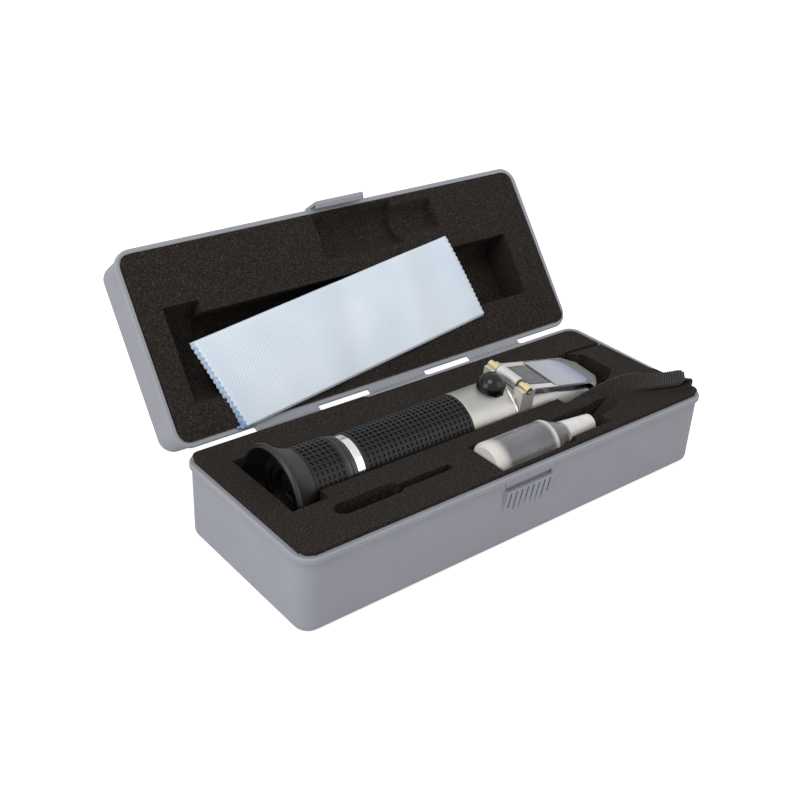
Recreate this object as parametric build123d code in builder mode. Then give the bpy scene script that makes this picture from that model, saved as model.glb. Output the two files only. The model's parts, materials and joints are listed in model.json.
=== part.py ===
"""Hand-held refractometer lying in its hinged carrying case, with lid open.

The case is a long box whose lid folds back on three thin straps.  Foam in both
halves is cut out for the instrument, a dropper bottle and a small screwdriver.
Length runs along X, the lid opens towards +Y and the case stands on Z = 0.
"""

from build123d import *
import math
import os

os.makedirs("parts", exist_ok=True)

# Case
case_length = 205.0
case_width = 78.4
case_corner = 7.5
base_height = 31.8
lid_height = 19.3
base_floor = 2.0
lid_top = 1.8
wall_top = 2.5
wall_draft = 1.0
case_edge_round = 2.8
bead_height = 2.4
bead_proud = 0.9
bead_round = 0.6
tongue_height = 1.2
tongue_width = 1.15
tongue_gap = 0.3
rim_gap = 0.1

# Lid hinge
open_angle = 127.4
hinge_reach = 1.2
hinge_thick = 0.8
fold_gap = 0.15
centre_strap = 29.0
side_strap_inner = 40.0
side_strap_outer = 69.2

# Latch
latch_width = 24.0
tab_thick = 1.2
tab_drop = 6.0
hook_height = 1.7
hook_reach = 1.7
catch_band = 4.2
catch_depth = 1.3
pad_proud = 1.5
pad_height = 11.3
groove_count = 8
groove_pitch = 2.9
groove_width = 0.9
groove_depth = 0.8
groove_shortening = 5.4

# Foam
foam_gap = 0.2
lid_foam_gap = 0.6
foam_step = 0.25
lid_recess_depth = 16.3
lid_recess_corner = 5.0
pocket_gap = 0.4

# Instrument axis and barrel
axis_y = 5.0
axis_z = 28.0
roll = 6.0
barrel_front = 22.4
barrel_rear = -66.0
neck_shoulder = -56.0
body_radius = 13.2
sleeve_seat_radius = 11.9
neck_radius = 10.9
bore_radius = 9.9
fit = 0.05
trim_length = 3.6
trim_radius = 12.4
grip_rear_radius = 12.75
grip_front_radius = 13.4
seam_length = 1.2
seam_radius = 13.5

# Eyepiece
focus_ring_radius = 13.8
focus_step_radius = 13.2
focus_step_length = 3.1
focus_knurl_rear = -75.4
eyecup_seat_rear = -80.5
eyecup_rim = -86.4
eyecup_radius = 18.9
lens_cell_radius = 9.55
lens_cell_rear = -79.5
lens_cell_front = -60.0
eyepiece_lens_radius = 8.7
focus_travel = 1.5

# Front housing, prism and daylight plate
housing_radius = 12.6
housing_front = 66.0
slope_angle = 12.5
slope_rear = 31.0
slope_height = 11.2
head_width = 17.0
prism_width = 14.0
prism_proud = 0.5
plate_gap = 0.3
plate_thick = 2.2
plate_width = 22.0
plate_tip = 75.0
plate_corner = 5.0
pin_x = 27.6
pin_height = 14.9
pin_radius = 0.8
pin_half_length = 11.5
knuckle_radius = 2.5
knuckle_width = 12.0
bushing_radius = 1.65
bushing_length = 5.4
saddle_width = 5.2
saddle_rear = 24.2
saddle_front = 31.2

# Calibration screw and its rubber cap
screw_x = 17.5
screw_radius = 1.2
screw_head_radius = 1.8
screw_head_height = 1.3
boss_radius = 3.2
boss_top = 14.7
cap_radius = 5.9
cap_centre = 13.7
cap_facets = 10
cap_facet_top = 15.2

# Inner optics
objective_x = 12.0
holder_rear = 6.0
holder_front = 19.2
reticle_x = -39.0
strip_width = 5.0
strip_thick = 0.6

# Dropper bottle
bottle_y = -25.5
bottle_z = 29.8
bottle_rear = -11.0
bottle_radius = 8.6
bottle_shoulder = 20.5
bottle_wall = 0.8
neck_rear = 29.5
bottle_neck_radius = 3.9
bottle_neck_front = 36.0
nozzle_tip = 43.5
cap_end = 46.5
cap_skirt_radius = 5.1
cap_end_radius = 3.7

# Screwdriver pocket, strap and cloth
driver_depth = 8.0
strap_diameter = 3.2
lug_x = 49.5
lug_drop = 3.4
cloth_thick = 1.6

# Derived places
half_length = case_length / 2
half_width = case_width / 2
wall_half_length = half_length - bead_proud
wall_half_width = half_width - bead_proud
wall_corner = case_corner - bead_proud
cavity_half_length = wall_half_length - wall_top
cavity_half_width = wall_half_width - wall_top
cavity_corner = wall_corner - wall_top
fold_y = half_width + hinge_reach
fold_z = base_height + rim_gap / 2
front_y = -half_width


def lid_direction(across, outward):
    """Direction in the open lid: across from the fold to the free edge, outward from its open side."""
    angle = math.radians(open_angle)
    y = -across * math.cos(angle) - outward * math.sin(angle)
    z = across * math.sin(angle) - outward * math.cos(angle)
    return Vector(0, y, z)


def lid_point(x, across, outward):
    """Point of the open lid from its place along the case, from the fold and from the rim plane."""
    return Vector(x, fold_y, fold_z) + lid_direction(across, outward)


def lid_front(outward=0.0):
    """Plane along the lid's rim, its Y across the lid from the fold, facing out of the lid."""
    return Plane(origin=lid_point(0, 0, outward), x_dir=(1, 0, 0), z_dir=lid_direction(0, 1))


def lid_back(outward=0.0):
    """Plane through the middle of the lid's rim, facing into the lid."""
    return Plane(origin=lid_point(0, fold_y, outward), x_dir=(1, 0, 0), z_dir=lid_direction(0, -1))


def lid_cross(x):
    """Cross plane of the lid, its X from the fold and its Y out of the lid."""
    return Plane(origin=lid_point(x, 0, 0), x_dir=lid_direction(1, 0), z_dir=(1, 0, 0))


def case_cross(x):
    """Cross plane of the case, its X along +Y and its Y up."""
    return Plane(origin=(x, 0, 0), x_dir=(0, 1, 0), z_dir=(1, 0, 0))


base_down = Plane(origin=(0, 0, base_height), x_dir=(1, 0, 0), z_dir=(0, 0, -1))

roll_angle = math.radians(roll)
local_up = Vector(0, -math.sin(roll_angle), math.cos(roll_angle))
local_near = Vector(0, -math.cos(roll_angle), -math.sin(roll_angle))
axis_origin = Vector(0, axis_y, axis_z)
axis_plane = Plane(origin=axis_origin, x_dir=(1, 0, 0), z_dir=local_near)
instrument_axis = Axis(axis_origin, (1, 0, 0))


def instrument_point(x, near, height):
    """Point of the instrument from its axis: towards the near side and up."""
    return axis_origin + Vector(x, 0, 0) + local_near * near + local_up * height


def instrument_level(x, height):
    """Plane square to the instrument's up direction, through the axis plane."""
    return Plane(origin=instrument_point(x, 0, height), x_dir=(1, 0, 0), z_dir=local_up)


def turn(points, mode=Mode.ADD):
    """Revolve a half profile of (x, radius) points about the instrument's axis."""
    with BuildSketch(axis_plane) as profile:
        with BuildLine():
            Polyline(*points, close=True)
        make_face()
    revolve(profile.sketch, axis=instrument_axis, mode=mode)


def dome_arc(edge_x, pole_x, radius):
    """Arc of a lens face from its edge to its pole on the axis, in the profile plane."""
    sag = abs(edge_x - pole_x)
    sphere = (radius * radius + sag * sag) / (2 * sag)
    spread = math.degrees(math.asin(radius / sphere))
    if pole_x < edge_x:
        return CenterArc((pole_x + sphere, 0), sphere, 180 - spread, spread)
    return CenterArc((pole_x - sphere, 0), sphere, 0, spread)


def tube(rear, front, outer, inner):
    """Plain tube on the instrument's axis."""
    turn([(rear, inner), (front, inner), (front, outer), (rear, outer)])


def side_profile(points, half_width_near, mode=Mode.ADD):
    """Extrude an outline of (x, height) points to both sides of the axis plane."""
    with BuildSketch(axis_plane) as profile:
        with BuildLine():
            Polyline(*points, close=True)
        make_face()
    extrude(profile.sketch, amount=half_width_near, both=True, mode=mode)


def finish(builder, name):
    """Label a finished piece and write it."""
    builder.part.label = name
    export_step(builder.part, f"parts/{name}.step")


# Lower half of the case
def strap_centres():
    """Centre and length of each hinge strap along the fold."""
    side_centre = (side_strap_inner + side_strap_outer) / 2
    side_length = side_strap_outer - side_strap_inner
    return [(-side_centre, side_length), (0, centre_strap), (side_centre, side_length)]


wall_at_catch = wall_half_width
catch_top = base_height - catch_band
catch_bottom = catch_top - hook_height - 2 * tongue_gap
pad_top_y = -(wall_at_catch + pad_proud)

with BuildPart() as case_base:
    with BuildSketch(base_down):
        RectangleRounded(2 * half_length, 2 * half_width, case_corner)
    extrude(amount=bead_height)
    fillet(case_base.edges().filter_by(Plane.XY), bead_round)
    with BuildSketch(base_down):
        RectangleRounded(2 * wall_half_length, 2 * wall_half_width, wall_corner)
    extrude(amount=base_height, taper=wall_draft)
    fillet(case_base.edges().group_by(Axis.Z)[0], case_edge_round)
    with BuildSketch(base_down):
        RectangleRounded(2 * cavity_half_length, 2 * cavity_half_width, cavity_corner)
    extrude(amount=base_height - base_floor, taper=wall_draft, mode=Mode.SUBTRACT)
    with BuildSketch(Plane.XY.offset(base_height)):
        RectangleRounded(
            2 * (cavity_half_length + tongue_width),
            2 * (cavity_half_width + tongue_width),
            cavity_corner + tongue_width,
        )
        RectangleRounded(
            2 * cavity_half_length, 2 * cavity_half_width, cavity_corner, mode=Mode.SUBTRACT
        )
    extrude(amount=tongue_height)
    for strap_centre, strap_length in strap_centres():
        with BuildSketch(Plane.XY.offset(base_height - hinge_thick)):
            with Locations((strap_centre, (wall_half_width + fold_y - fold_gap / 2) / 2)):
                Rectangle(strap_length, fold_y - fold_gap / 2 - wall_half_width)
        extrude(amount=hinge_thick)
    with BuildSketch(case_cross(-latch_width / 2)):
        with BuildLine():
            Polyline(
                (-wall_half_width + 1, catch_bottom - pad_height),
                (-wall_half_width + wall_draft / 3, catch_bottom - pad_height),
                (pad_top_y, catch_bottom - 0.6),
                (pad_top_y, catch_bottom),
                (-wall_half_width + 1, catch_bottom),
                close=True,
            )
        make_face()
    extrude(amount=latch_width)
    with BuildSketch(case_cross(-latch_width / 2)):
        with Locations((-wall_half_width + catch_depth / 2 - 1, (catch_top + catch_bottom) / 2)):
            Rectangle(catch_depth + 2, catch_top - catch_bottom)
    extrude(amount=latch_width, mode=Mode.SUBTRACT)
    with BuildSketch(case_cross(-latch_width / 2)):
        with Locations((-wall_half_width - 0.1, (catch_top + base_height - bead_height) / 2)):
            Rectangle(0.8, base_height - bead_height - catch_top)
    extrude(amount=latch_width)
    for index in range(groove_count):
        groove_x = (index - (groove_count - 1) / 2) * groove_pitch
        reach = groove_x / (groove_count * groove_pitch / 2)
        groove_length = pad_height - groove_shortening * reach * reach
        with BuildSketch(Plane.XZ.offset(half_width + pad_proud)):
            with Locations((groove_x, catch_bottom - 0.5 - groove_length / 2)):
                Rectangle(groove_width, groove_length)
        extrude(
            amount=-(bead_proud + groove_depth + pad_proud * 0.6 + (pad_height - groove_length) / 8),
            mode=Mode.SUBTRACT,
        )

finish(case_base, "case_base")

# Foam in the lower half
eyecup_pocket_radius = eyecup_radius + pocket_gap + 0.1
body_pocket_radius = seam_radius + pocket_gap
bottle_pocket_radius = bottle_radius + pocket_gap


def trough(plane_of, start, end, centre, height, radius, top):
    """Cut a round-bottomed trough with straight walls up to the top."""
    with BuildSketch(plane_of(start)) as section:
        with Locations((centre, height)):
            Circle(radius)
        with Locations((centre, (height + top) / 2)):
            Rectangle(2 * radius, top - height)
    extrude(section.sketch, amount=end - start, mode=Mode.SUBTRACT)


def pocket(points, bottom):
    """Cut a straight-walled pocket of the given outline into the lower foam."""
    with BuildSketch(Plane.XY.offset(bottom)) as outline:
        with BuildLine():
            Polyline(*points, close=True)
        make_face()
    extrude(outline.sketch, amount=base_height - bottom + 1, mode=Mode.SUBTRACT)


foam_top = base_height + 1
bottle_pocket_front = bottle_shoulder + 7
cap_pocket_radius = cap_skirt_radius + 1.1

with BuildPart() as base_foam:
    with BuildSketch(base_down):
        RectangleRounded(
            2 * (cavity_half_length - foam_gap),
            2 * (cavity_half_width - foam_gap),
            cavity_corner - foam_gap,
        )
    extrude(amount=base_height - base_floor, taper=wall_draft)
    trough(case_cross, -90.0, -74.5, axis_y, axis_z, eyecup_pocket_radius, foam_top)
    trough(case_cross, -74.6, 67.0, axis_y, axis_z, body_pocket_radius, foam_top)
    pocket([(66, -8), (76, -8), (83, -3), (83, 13), (76, 18.5), (66, 18.5)], 24.0)
    pocket([(76.6, 17.6), (99, 17.6), (99, 19.4), (76.6, 19.4)], 22.0)
    pocket([(44, -4), (44, -13), (56, -13.6), (68, -19), (74, -21), (74, -4)], 20.0)
    trough(case_cross, bottle_rear - 1, bottle_pocket_front, bottle_y, bottle_z, bottle_pocket_radius, foam_top)
    trough(case_cross, bottle_pocket_front - 0.5, 49.0, bottle_y, bottle_z, cap_pocket_radius, foam_top)
    pocket([(48.5, -28.5), (60, -26.5), (64, -24), (64, -19), (56, -18.5), (48.5, -20)], 22.0)
    with BuildSketch(Plane.XY.offset(base_height - driver_depth)):
        with Locations((-63.5, -22.5)):
            SlotOverall(29.0, 7.0)
        with Locations((-38.0, -22.9)):
            Rectangle(24.5, 3.4)
    extrude(amount=driver_depth + 1, mode=Mode.SUBTRACT)

finish(base_foam, "base_foam")

# Lid
with BuildPart() as case_lid:
    with BuildSketch(lid_back(-rim_gap / 2)):
        RectangleRounded(2 * half_length, 2 * half_width, case_corner)
    extrude(amount=bead_height)
    fillet(case_lid.edges().filter_by(lid_front()), bead_round)
    with BuildSketch(lid_back(-rim_gap / 2)):
        RectangleRounded(2 * wall_half_length, 2 * wall_half_width, wall_corner)
    extrude(amount=lid_height, taper=wall_draft)
    back_axis = Axis(lid_point(0, 0, 0), lid_direction(0, -1))
    fillet(case_lid.edges().group_by(back_axis)[-1], case_edge_round)
    with BuildSketch(lid_back()):
        RectangleRounded(2 * cavity_half_length, 2 * cavity_half_width, cavity_corner)
    extrude(amount=lid_height - lid_top, taper=wall_draft, mode=Mode.SUBTRACT)
    with BuildSketch(lid_back()):
        RectangleRounded(
            2 * (cavity_half_length + tongue_width + tongue_gap),
            2 * (cavity_half_width + tongue_width + tongue_gap),
            cavity_corner + tongue_width + tongue_gap,
        )
    extrude(amount=tongue_height + tongue_gap, mode=Mode.SUBTRACT)
    for strap_centre, strap_length in strap_centres():
        strap_reach = hinge_reach + bead_proud - fold_gap / 2
        with BuildSketch(lid_front(-rim_gap / 2)):
            with Locations((strap_centre, fold_gap / 2 + strap_reach / 2)):
                Rectangle(strap_length, strap_reach)
        extrude(amount=-hinge_thick)
    tab_inner = fold_y + half_width + 0.2
    with BuildSketch(lid_cross(-latch_width / 2)):
        with BuildLine():
            Polyline(
                (tab_inner - 1.0, -4.6),
                (tab_inner + tab_thick * 0.4, -4.6),
                (tab_inner + tab_thick, -3.4),
                (tab_inner + tab_thick, tab_drop),
                (tab_inner, tab_drop),
                (tab_inner - hook_reach, tab_drop - 0.9),
                (tab_inner - hook_reach, tab_drop - hook_height),
                (tab_inner, tab_drop - hook_height),
                (tab_inner, -rim_gap),
                (tab_inner - 1.0, -rim_gap),
                close=True,
            )
        make_face()
    extrude(amount=latch_width)

finish(case_lid, "case_lid")

# Foam in the lid
recess_middle = fold_y - axis_y - 0.4
recess_half = 14.3
axis_out = fold_z - axis_z
bottle_across = fold_y - bottle_y
bottle_out = fold_z - bottle_z

with BuildPart() as lid_foam:
    with BuildSketch(lid_back(-foam_step)):
        RectangleRounded(
            2 * (cavity_half_length - lid_foam_gap),
            2 * (cavity_half_width - lid_foam_gap),
            cavity_corner - lid_foam_gap,
        )
    extrude(amount=lid_height - lid_top - foam_step, taper=wall_draft)
    with BuildSketch(lid_cross(-90.0)):
        with Locations((fold_y - axis_y, axis_out)):
            Circle(eyecup_pocket_radius)
    extrude(amount=15.2, mode=Mode.SUBTRACT)
    with BuildSketch(lid_cross(-75.0)):
        with Locations((recess_middle, 5 - lid_recess_depth / 2)):
            RectangleRounded(2 * recess_half, lid_recess_depth + 10, lid_recess_corner)
    extrude(amount=158.5, mode=Mode.SUBTRACT)
    with BuildSketch(lid_front(-lid_recess_depth + 2)):
        with Locations((pin_x, recess_middle)):
            RectangleRounded(13.0, 2 * recess_half + 6.0, 2.5)
    extrude(amount=lid_recess_depth, mode=Mode.SUBTRACT)
    with BuildSketch(lid_cross(bottle_rear - 2)):
        with Locations((bottle_across, bottle_out)):
            Circle(bottle_pocket_radius + 0.4)
    extrude(amount=bottle_pocket_front - bottle_rear + 2, mode=Mode.SUBTRACT)
    with BuildSketch(lid_cross(bottle_pocket_front - 0.5)):
        with Locations((bottle_across, bottle_out)):
            Circle(cap_pocket_radius + 0.4)
    extrude(amount=49.5 - bottle_pocket_front, mode=Mode.SUBTRACT)

finish(lid_foam, "lid_foam")

# Folded cleaning cloth lying on the lid foam
with BuildPart() as cleaning_cloth:
    with BuildSketch(lid_front(0.1)):
        with BuildLine():
            Polyline((-72.9, 1.9), (54.9, 16.3), (49.4, 54.5), (-83.1, 38.7), close=True)
        make_face()
    extrude(amount=cloth_thick)

finish(cleaning_cloth, "cleaning_cloth")

# Barrel of the instrument
with BuildPart() as barrel:
    turn(
        [
            (barrel_rear, bore_radius),
            (barrel_front, bore_radius),
            (barrel_front, body_radius),
            (0.3, body_radius),
            (0, body_radius - 0.3),
            (0, sleeve_seat_radius),
            (neck_shoulder, sleeve_seat_radius),
            (neck_shoulder, neck_radius),
            (barrel_rear, neck_radius),
        ]
    )
    with BuildSketch(instrument_level(screw_x, bore_radius + 1.5)):
        Circle(boss_radius)
    extrude(amount=boss_top - bore_radius - 1.5)
    with BuildSketch(instrument_level(screw_x, boss_top)):
        Circle(screw_head_radius + fit)
    extrude(amount=-(screw_head_height + 0.5), mode=Mode.SUBTRACT)
    with BuildSketch(instrument_level(screw_x, boss_top)):
        Circle(screw_radius + fit)
    extrude(amount=-(boss_top - bore_radius + 2), mode=Mode.SUBTRACT)

finish(barrel, "barrel")

trim_front = neck_shoulder + trim_length

with BuildPart() as trim_ring:
    turn(
        [
            (neck_shoulder, sleeve_seat_radius + fit),
            (trim_front, sleeve_seat_radius + fit),
            (trim_front, trim_radius),
            (neck_shoulder + 0.3, trim_radius),
            (neck_shoulder, trim_radius - 0.3),
        ]
    )

finish(trim_ring, "trim_ring")

with BuildPart() as grip_sleeve:
    turn(
        [
            (trim_front, sleeve_seat_radius + fit),
            (-fit, sleeve_seat_radius + fit),
            (-fit, grip_front_radius - 0.4),
            (-0.6, grip_front_radius),
            (-3.2, grip_front_radius),
            (-3.4, grip_front_radius - 0.4),
            (trim_front + 2.4, grip_rear_radius - 0.3),
            (trim_front + 2.2, grip_rear_radius),
            (trim_front, grip_rear_radius),
        ]
    )

finish(grip_sleeve, "grip_sleeve")

seam_front = barrel_front + seam_length

with BuildPart() as front_ring:
    turn(
        [
            (barrel_front, bore_radius),
            (seam_front, bore_radius),
            (seam_front, seam_radius - 0.4),
            (seam_front - 0.4, seam_radius),
            (barrel_front + 0.3, seam_radius),
            (barrel_front, seam_radius - 0.3),
        ]
    )

finish(front_ring, "front_ring")


# Front housing with the prism seat and the saddles of the plate hinge
def slope_at(x):
    """Height of the housing's sloping top at a place along the axis."""
    return slope_height - (x - slope_rear) * math.tan(math.radians(slope_angle))


spigot_rear = holder_front + 0.4
prism_rear = slope_rear + 0.6
prism_front = housing_front - 1.2
prism_floor_rear = 2.6
prism_floor_front = -1.6

with BuildPart() as front_housing:
    turn(
        [
            (spigot_rear, 0),
            (spigot_rear, bore_radius - fit),
            (seam_front, bore_radius - fit),
            (seam_front, housing_radius),
            (housing_front - 1.0, housing_radius),
            (housing_front, housing_radius - 1.0),
            (housing_front, 0),
        ]
    )
    side_profile(
        [
            (seam_front, 0),
            (housing_front, 0),
            (housing_front, slope_at(housing_front)),
            (slope_rear, slope_height),
            (seam_front, slope_height),
        ],
        head_width / 2,
    )
    side_profile(
        [
            (seam_front - 0.01, slope_at(seam_front)),
            (housing_front + 1, slope_at(housing_front + 1)),
            (housing_front + 1, housing_radius + 3),
            (seam_front - 0.01, housing_radius + 3),
        ],
        housing_radius + 3,
        mode=Mode.SUBTRACT,
    )
    for side in (-1, 1):
        saddle_middle = side * (knuckle_width / 2 + 0.3 + saddle_width / 2)
        with BuildSketch(instrument_level((saddle_rear + saddle_front) / 2, 4.0)):
            with Locations((0, -saddle_middle)):
                Rectangle(saddle_front - saddle_rear, saddle_width)
        extrude(amount=pin_height - 4.0)
    with BuildSketch(Plane(origin=instrument_point(pin_x, 0, pin_height), x_dir=(1, 0, 0), z_dir=local_near)):
        Circle(bushing_radius + fit)
    extrude(amount=pin_half_length + 2, both=True, mode=Mode.SUBTRACT)
    side_profile(
        [
            (prism_rear - fit, slope_height + 2),
            (prism_rear - fit, prism_floor_rear - fit),
            (prism_front + fit, prism_floor_front - fit),
            (prism_front + fit, slope_height + 2),
        ],
        prism_width / 2 + fit,
        mode=Mode.SUBTRACT,
    )
    turn([(spigot_rear, 0), (prism_rear + 1, 0), (prism_rear + 1, 7.0), (spigot_rear, 7.0)], mode=Mode.SUBTRACT)

finish(front_housing, "front_housing")

with BuildPart() as prism:
    side_profile(
        [
            (prism_rear, slope_at(prism_rear) + prism_proud),
            (prism_rear, prism_floor_rear),
            (prism_front, prism_floor_front),
            (prism_front, slope_at(prism_front) + prism_proud),
        ],
        prism_width / 2,
    )

finish(prism, "prism")

# Hinge pin, bushings and the daylight plate
pin_plane = Plane(origin=instrument_point(pin_x, 0, pin_height), x_dir=(1, 0, 0), z_dir=local_near)

with BuildPart() as hinge_pin:
    with BuildSketch(pin_plane):
        Circle(pin_radius)
    extrude(amount=pin_half_length, both=True)

finish(hinge_pin, "hinge_pin")

with BuildPart() as hinge_bushings:
    for side in (-1, 1):
        with BuildSketch(pin_plane.offset(side * (knuckle_width / 2 + 0.3))):
            Circle(bushing_radius)
            Circle(pin_radius + 0.02, mode=Mode.SUBTRACT)
        extrude(amount=side * bushing_length)

finish(hinge_bushings, "hinge_bushings")

plate_lift = prism_proud + plate_gap
plate_rear = saddle_front + 0.6

with BuildPart() as daylight_plate:
    with BuildSketch(pin_plane):
        Circle(knuckle_radius)
    extrude(amount=knuckle_width / 2, both=True)
    side_profile(
        [
            (pin_x, slope_at(pin_x) + plate_lift),
            (plate_rear + 1, slope_at(plate_rear + 1) + plate_lift),
            (plate_rear + 1, slope_at(plate_rear + 1) + plate_lift + plate_thick),
            (pin_x, slope_at(pin_x) + plate_lift + plate_thick),
        ],
        knuckle_width / 2,
    )
    side_profile(
        [
            (plate_rear, slope_at(plate_rear) + plate_lift),
            (plate_tip, slope_at(plate_tip) + plate_lift),
            (plate_tip, slope_at(plate_tip) + plate_lift + plate_thick),
            (plate_rear, slope_at(plate_rear) + plate_lift + plate_thick),
        ],
        plate_width / 2,
    )
    tip_edges = daylight_plate.faces().sort_by(Axis.X)[-1].edges()
    chamfer(tip_edges.filter_by(lambda edge: edge.length < plate_width / 2), plate_corner)
    with BuildSketch(pin_plane):
        Circle(pin_radius + 0.03)
    extrude(amount=knuckle_width, both=True, mode=Mode.SUBTRACT)

finish(daylight_plate, "daylight_plate")

# Calibration screw and its rubber cap
screw_tip = bore_radius + 0.05
screw_head_bottom = boss_top - screw_head_height - 0.3

with BuildPart() as calibration_screw:
    with BuildSketch(instrument_level(screw_x, screw_tip)):
        Circle(screw_radius)
    extrude(amount=screw_head_bottom - screw_tip)
    with BuildSketch(instrument_level(screw_x, screw_head_bottom)):
        Circle(screw_head_radius)
    extrude(amount=screw_head_height)
    with BuildSketch(instrument_level(screw_x, screw_head_bottom + screw_head_height)):
        Rectangle(2 * screw_head_radius, 0.5)
    extrude(amount=-0.6, mode=Mode.SUBTRACT)

finish(calibration_screw, "calibration_screw")

with BuildPart() as screw_cap:
    with BuildSketch(instrument_level(screw_x, 9.0)):
        RegularPolygon(cap_radius, cap_facets)
    extrude(amount=cap_facet_top - 9.0)
    with BuildSketch(axis_plane) as dome:
        with BuildLine():
            CenterArc((screw_x, cap_centre), cap_radius, 0, 90)
            Line((screw_x, cap_centre + cap_radius), (screw_x, cap_centre))
            Line((screw_x, cap_centre), (screw_x + cap_radius, cap_centre))
        make_face()
    revolve(axis=Axis(instrument_point(screw_x, 0, 0), local_up))
    with BuildSketch(instrument_level(screw_x, 9.0)):
        Circle(boss_radius + fit)
    extrude(amount=boss_top - 9.0 + 0.4, mode=Mode.SUBTRACT)
    turn([(0, 0), (barrel_front, 0), (barrel_front, body_radius + 0.1), (0, body_radius + 0.1)], mode=Mode.SUBTRACT)
    turn(
        [
            (barrel_front - 0.2, 0),
            (2 * screw_x, 0),
            (2 * screw_x, seam_radius + 0.2),
            (barrel_front - 0.2, seam_radius + 0.2),
        ],
        mode=Mode.SUBTRACT,
    )

finish(screw_cap, "screw_cap")

# Objective in its holder, reticle and the strip that corrects for temperature
with BuildPart() as objective_holder:
    turn(
        [
            (holder_rear, 6.5),
            (objective_x - 1.6, 6.5),
            (objective_x - 1.6, 7.6),
            (holder_front, 7.6),
            (holder_front, bore_radius - fit),
            (holder_rear, bore_radius - fit),
        ]
    )

finish(objective_holder, "objective_holder")

with BuildPart() as objective_lens:
    with BuildSketch(axis_plane):
        with BuildLine():
            Line((objective_x - 1.6, 0), (objective_x + 2.4, 0))
            dome_arc(objective_x + 0.9, objective_x + 2.4, 7.5)
            Line((objective_x + 0.9, 7.5), (objective_x - 1.6, 7.5))
            Line((objective_x - 1.6, 7.5), (objective_x - 1.6, 0))
        make_face()
    revolve(axis=instrument_axis)

finish(objective_lens, "objective_lens")

with BuildPart() as objective_retainer:
    tube(objective_x + 1.6, objective_x + 3.6, 7.55, 6.0)

finish(objective_retainer, "objective_retainer")

with BuildPart() as reticle_holder:
    turn(
        [
            (reticle_x - 3.0, 7.0),
            (reticle_x - 0.8, 7.0),
            (reticle_x - 0.8, 8.3),
            (reticle_x + 3.0, 8.3),
            (reticle_x + 3.0, bore_radius - fit),
            (reticle_x - 3.0, bore_radius - fit),
        ]
    )

finish(reticle_holder, "reticle_holder")

with BuildPart() as reticle_disc:
    turn([(reticle_x - 0.8, 0), (reticle_x + 0.8, 0), (reticle_x + 0.8, 8.25), (reticle_x - 0.8, 8.25)])

finish(reticle_disc, "reticle_disc")

strip_seat = math.sqrt(bore_radius * bore_radius - strip_width * strip_width / 4) - fit

with BuildPart() as bimetal_strip:
    with BuildSketch(instrument_level((reticle_x + 3.0 + holder_rear) / 2, -strip_seat)):
        Rectangle(holder_rear - reticle_x - 3.2, strip_width)
    extrude(amount=strip_thick)

finish(bimetal_strip, "bimetal_strip")

# Focus ring, eyecup and eyepiece lens
ring_front = neck_shoulder - 0.4

with BuildPart() as focus_ring:
    turn(
        [
            (eyecup_seat_rear, lens_cell_radius + 0.1),
            (barrel_rear - 0.3, lens_cell_radius + 0.1),
            (barrel_rear - 0.3, neck_radius + fit),
            (ring_front, neck_radius + fit),
            (ring_front, focus_step_radius),
            (ring_front - focus_step_length, focus_step_radius),
            (ring_front - focus_step_length, focus_ring_radius - 0.3),
            (ring_front - focus_step_length - 0.3, focus_ring_radius),
            (focus_knurl_rear + 0.3, focus_ring_radius),
            (focus_knurl_rear, focus_ring_radius - 0.3),
            (focus_knurl_rear, sleeve_seat_radius),
            (eyecup_seat_rear, sleeve_seat_radius),
        ]
    )

finish(focus_ring, "focus_ring")

with BuildPart() as eyecup:
    with BuildSketch(axis_plane):
        with BuildLine():
            Line((focus_knurl_rear - fit, sleeve_seat_radius + fit), (focus_knurl_rear - fit, 14.0))
            Spline(
                (focus_knurl_rear - fit, 14.0),
                (focus_knurl_rear - 4.6, 15.7),
                (eyecup_rim + 1.6, eyecup_radius),
            )
            ThreePointArc(
                (eyecup_rim + 1.6, eyecup_radius),
                (eyecup_rim + 0.3, eyecup_radius - 0.3),
                (eyecup_rim, eyecup_radius - 1.3),
            )
            Polyline(
                (eyecup_rim, eyecup_radius - 1.3),
                (eyecup_seat_rear + 0.1, 12.9),
                (eyecup_seat_rear + 0.1, sleeve_seat_radius + fit),
                (focus_knurl_rear - fit, sleeve_seat_radius + fit),
            )
        make_face()
    revolve(axis=instrument_axis)

finish(eyecup, "eyecup")

lens_rear = lens_cell_rear + 2.6

with BuildPart() as lens_cell:
    turn(
        [
            (lens_cell_rear, eyepiece_lens_radius + fit),
            (lens_rear + 2.4, eyepiece_lens_radius + fit),
            (lens_rear + 2.4, 7.6),
            (lens_cell_front, 7.6),
            (lens_cell_front, lens_cell_radius),
            (lens_cell_rear, lens_cell_radius),
        ]
    )

finish(lens_cell, "lens_cell")

with BuildPart() as eyepiece_lens:
    with BuildSketch(axis_plane):
        with BuildLine():
            Line((lens_rear + 2.4, 0), (lens_rear + 2.4, eyepiece_lens_radius))
            Line((lens_rear + 2.4, eyepiece_lens_radius), (lens_rear + 0.3, eyepiece_lens_radius))
            dome_arc(lens_rear + 0.3, lens_rear - 1.4, eyepiece_lens_radius)
            Line((lens_rear - 1.4, 0), (lens_rear + 2.4, 0))
        make_face()
    revolve(axis=instrument_axis)

finish(eyepiece_lens, "eyepiece_lens")

with BuildPart() as lens_retainer:
    tube(lens_cell_rear + 0.2, lens_rear - 0.22, eyepiece_lens_radius, 7.4)

finish(lens_retainer, "lens_retainer")

# Dropper bottle
bottle_origin = Vector(0, bottle_y, bottle_z)
bottle_plane = Plane(origin=bottle_origin, x_dir=(1, 0, 0), z_dir=(0, -1, 0))
bottle_axis = Axis(bottle_origin, (1, 0, 0))

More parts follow.
